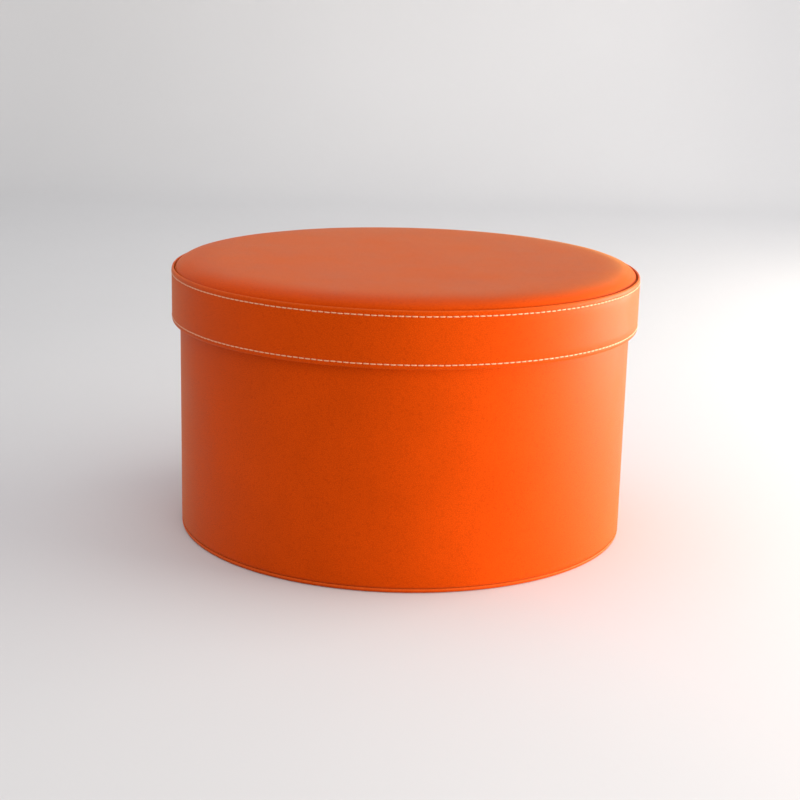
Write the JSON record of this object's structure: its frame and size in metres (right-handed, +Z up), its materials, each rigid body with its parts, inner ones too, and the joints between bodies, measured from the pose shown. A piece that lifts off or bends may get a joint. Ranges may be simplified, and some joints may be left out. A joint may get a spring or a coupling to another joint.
{
  "type": "hat box",
  "caption": "Round hat box: a straight drum wrapped in orange leatherette, with a lift-off lid that has a padded, lipped top and a stitched band.",
  "frame": {"origin": "middle of the underside of the base plate, on the surface the box stands on", "axes": "+Z up, along the box's axis and the way the lid lifts; -Y is the front and +Y the back, where the rolled boards' laps and the covering's seams are"},
  "size_m": [0.3204, 0.3204, 0.187],
  "materials": {
    "leatherette": "orange polyurethane leatherette with a fine shallow grain, satin",
    "thread": "cream twisted polyester sewing thread, slight sheen",
    "lining": "pale sand flocked suede cloth, matt",
    "greyboard": "bare recycled greyboard, matt with visible fibres",
    "kraft_tape": "brown gummed kraft tape, matt",
    "foam": "cream open-cell polyurethane foam",
    "stiffener": "pressed fibre card"
  },
  "bodies": {
    "box": {"base_cover": "leatherette", "base_board": "greyboard", "wall_board": "greyboard", "wall_seam_tape": "kraft_tape", "wall_cover": "leatherette", "wall_lining": "lining", "floor_board": "greyboard", "floor_lining": "lining"},
    "lid": {"lid_ring_board": "greyboard", "lid_ring_seam_tape": "kraft_tape", "lid_ring_lining": "lining", "lid_ceiling_lining": "lining", "lid_ceiling_board": "greyboard", "lid_top_board": "greyboard", "lid_foam_pad": "foam", "lid_top_cover": "leatherette", "lid_band_strip": "leatherette", "lid_band_core": "stiffener", "upper_stitching": "thread", "lower_stitching": "thread"}
  },
  "joints": [
    {"name": "lid_lift", "type": "slide", "parent": "box", "child": "lid", "axis": [0, 0, 1], "range_m": [0, 0.2]}
  ]
}
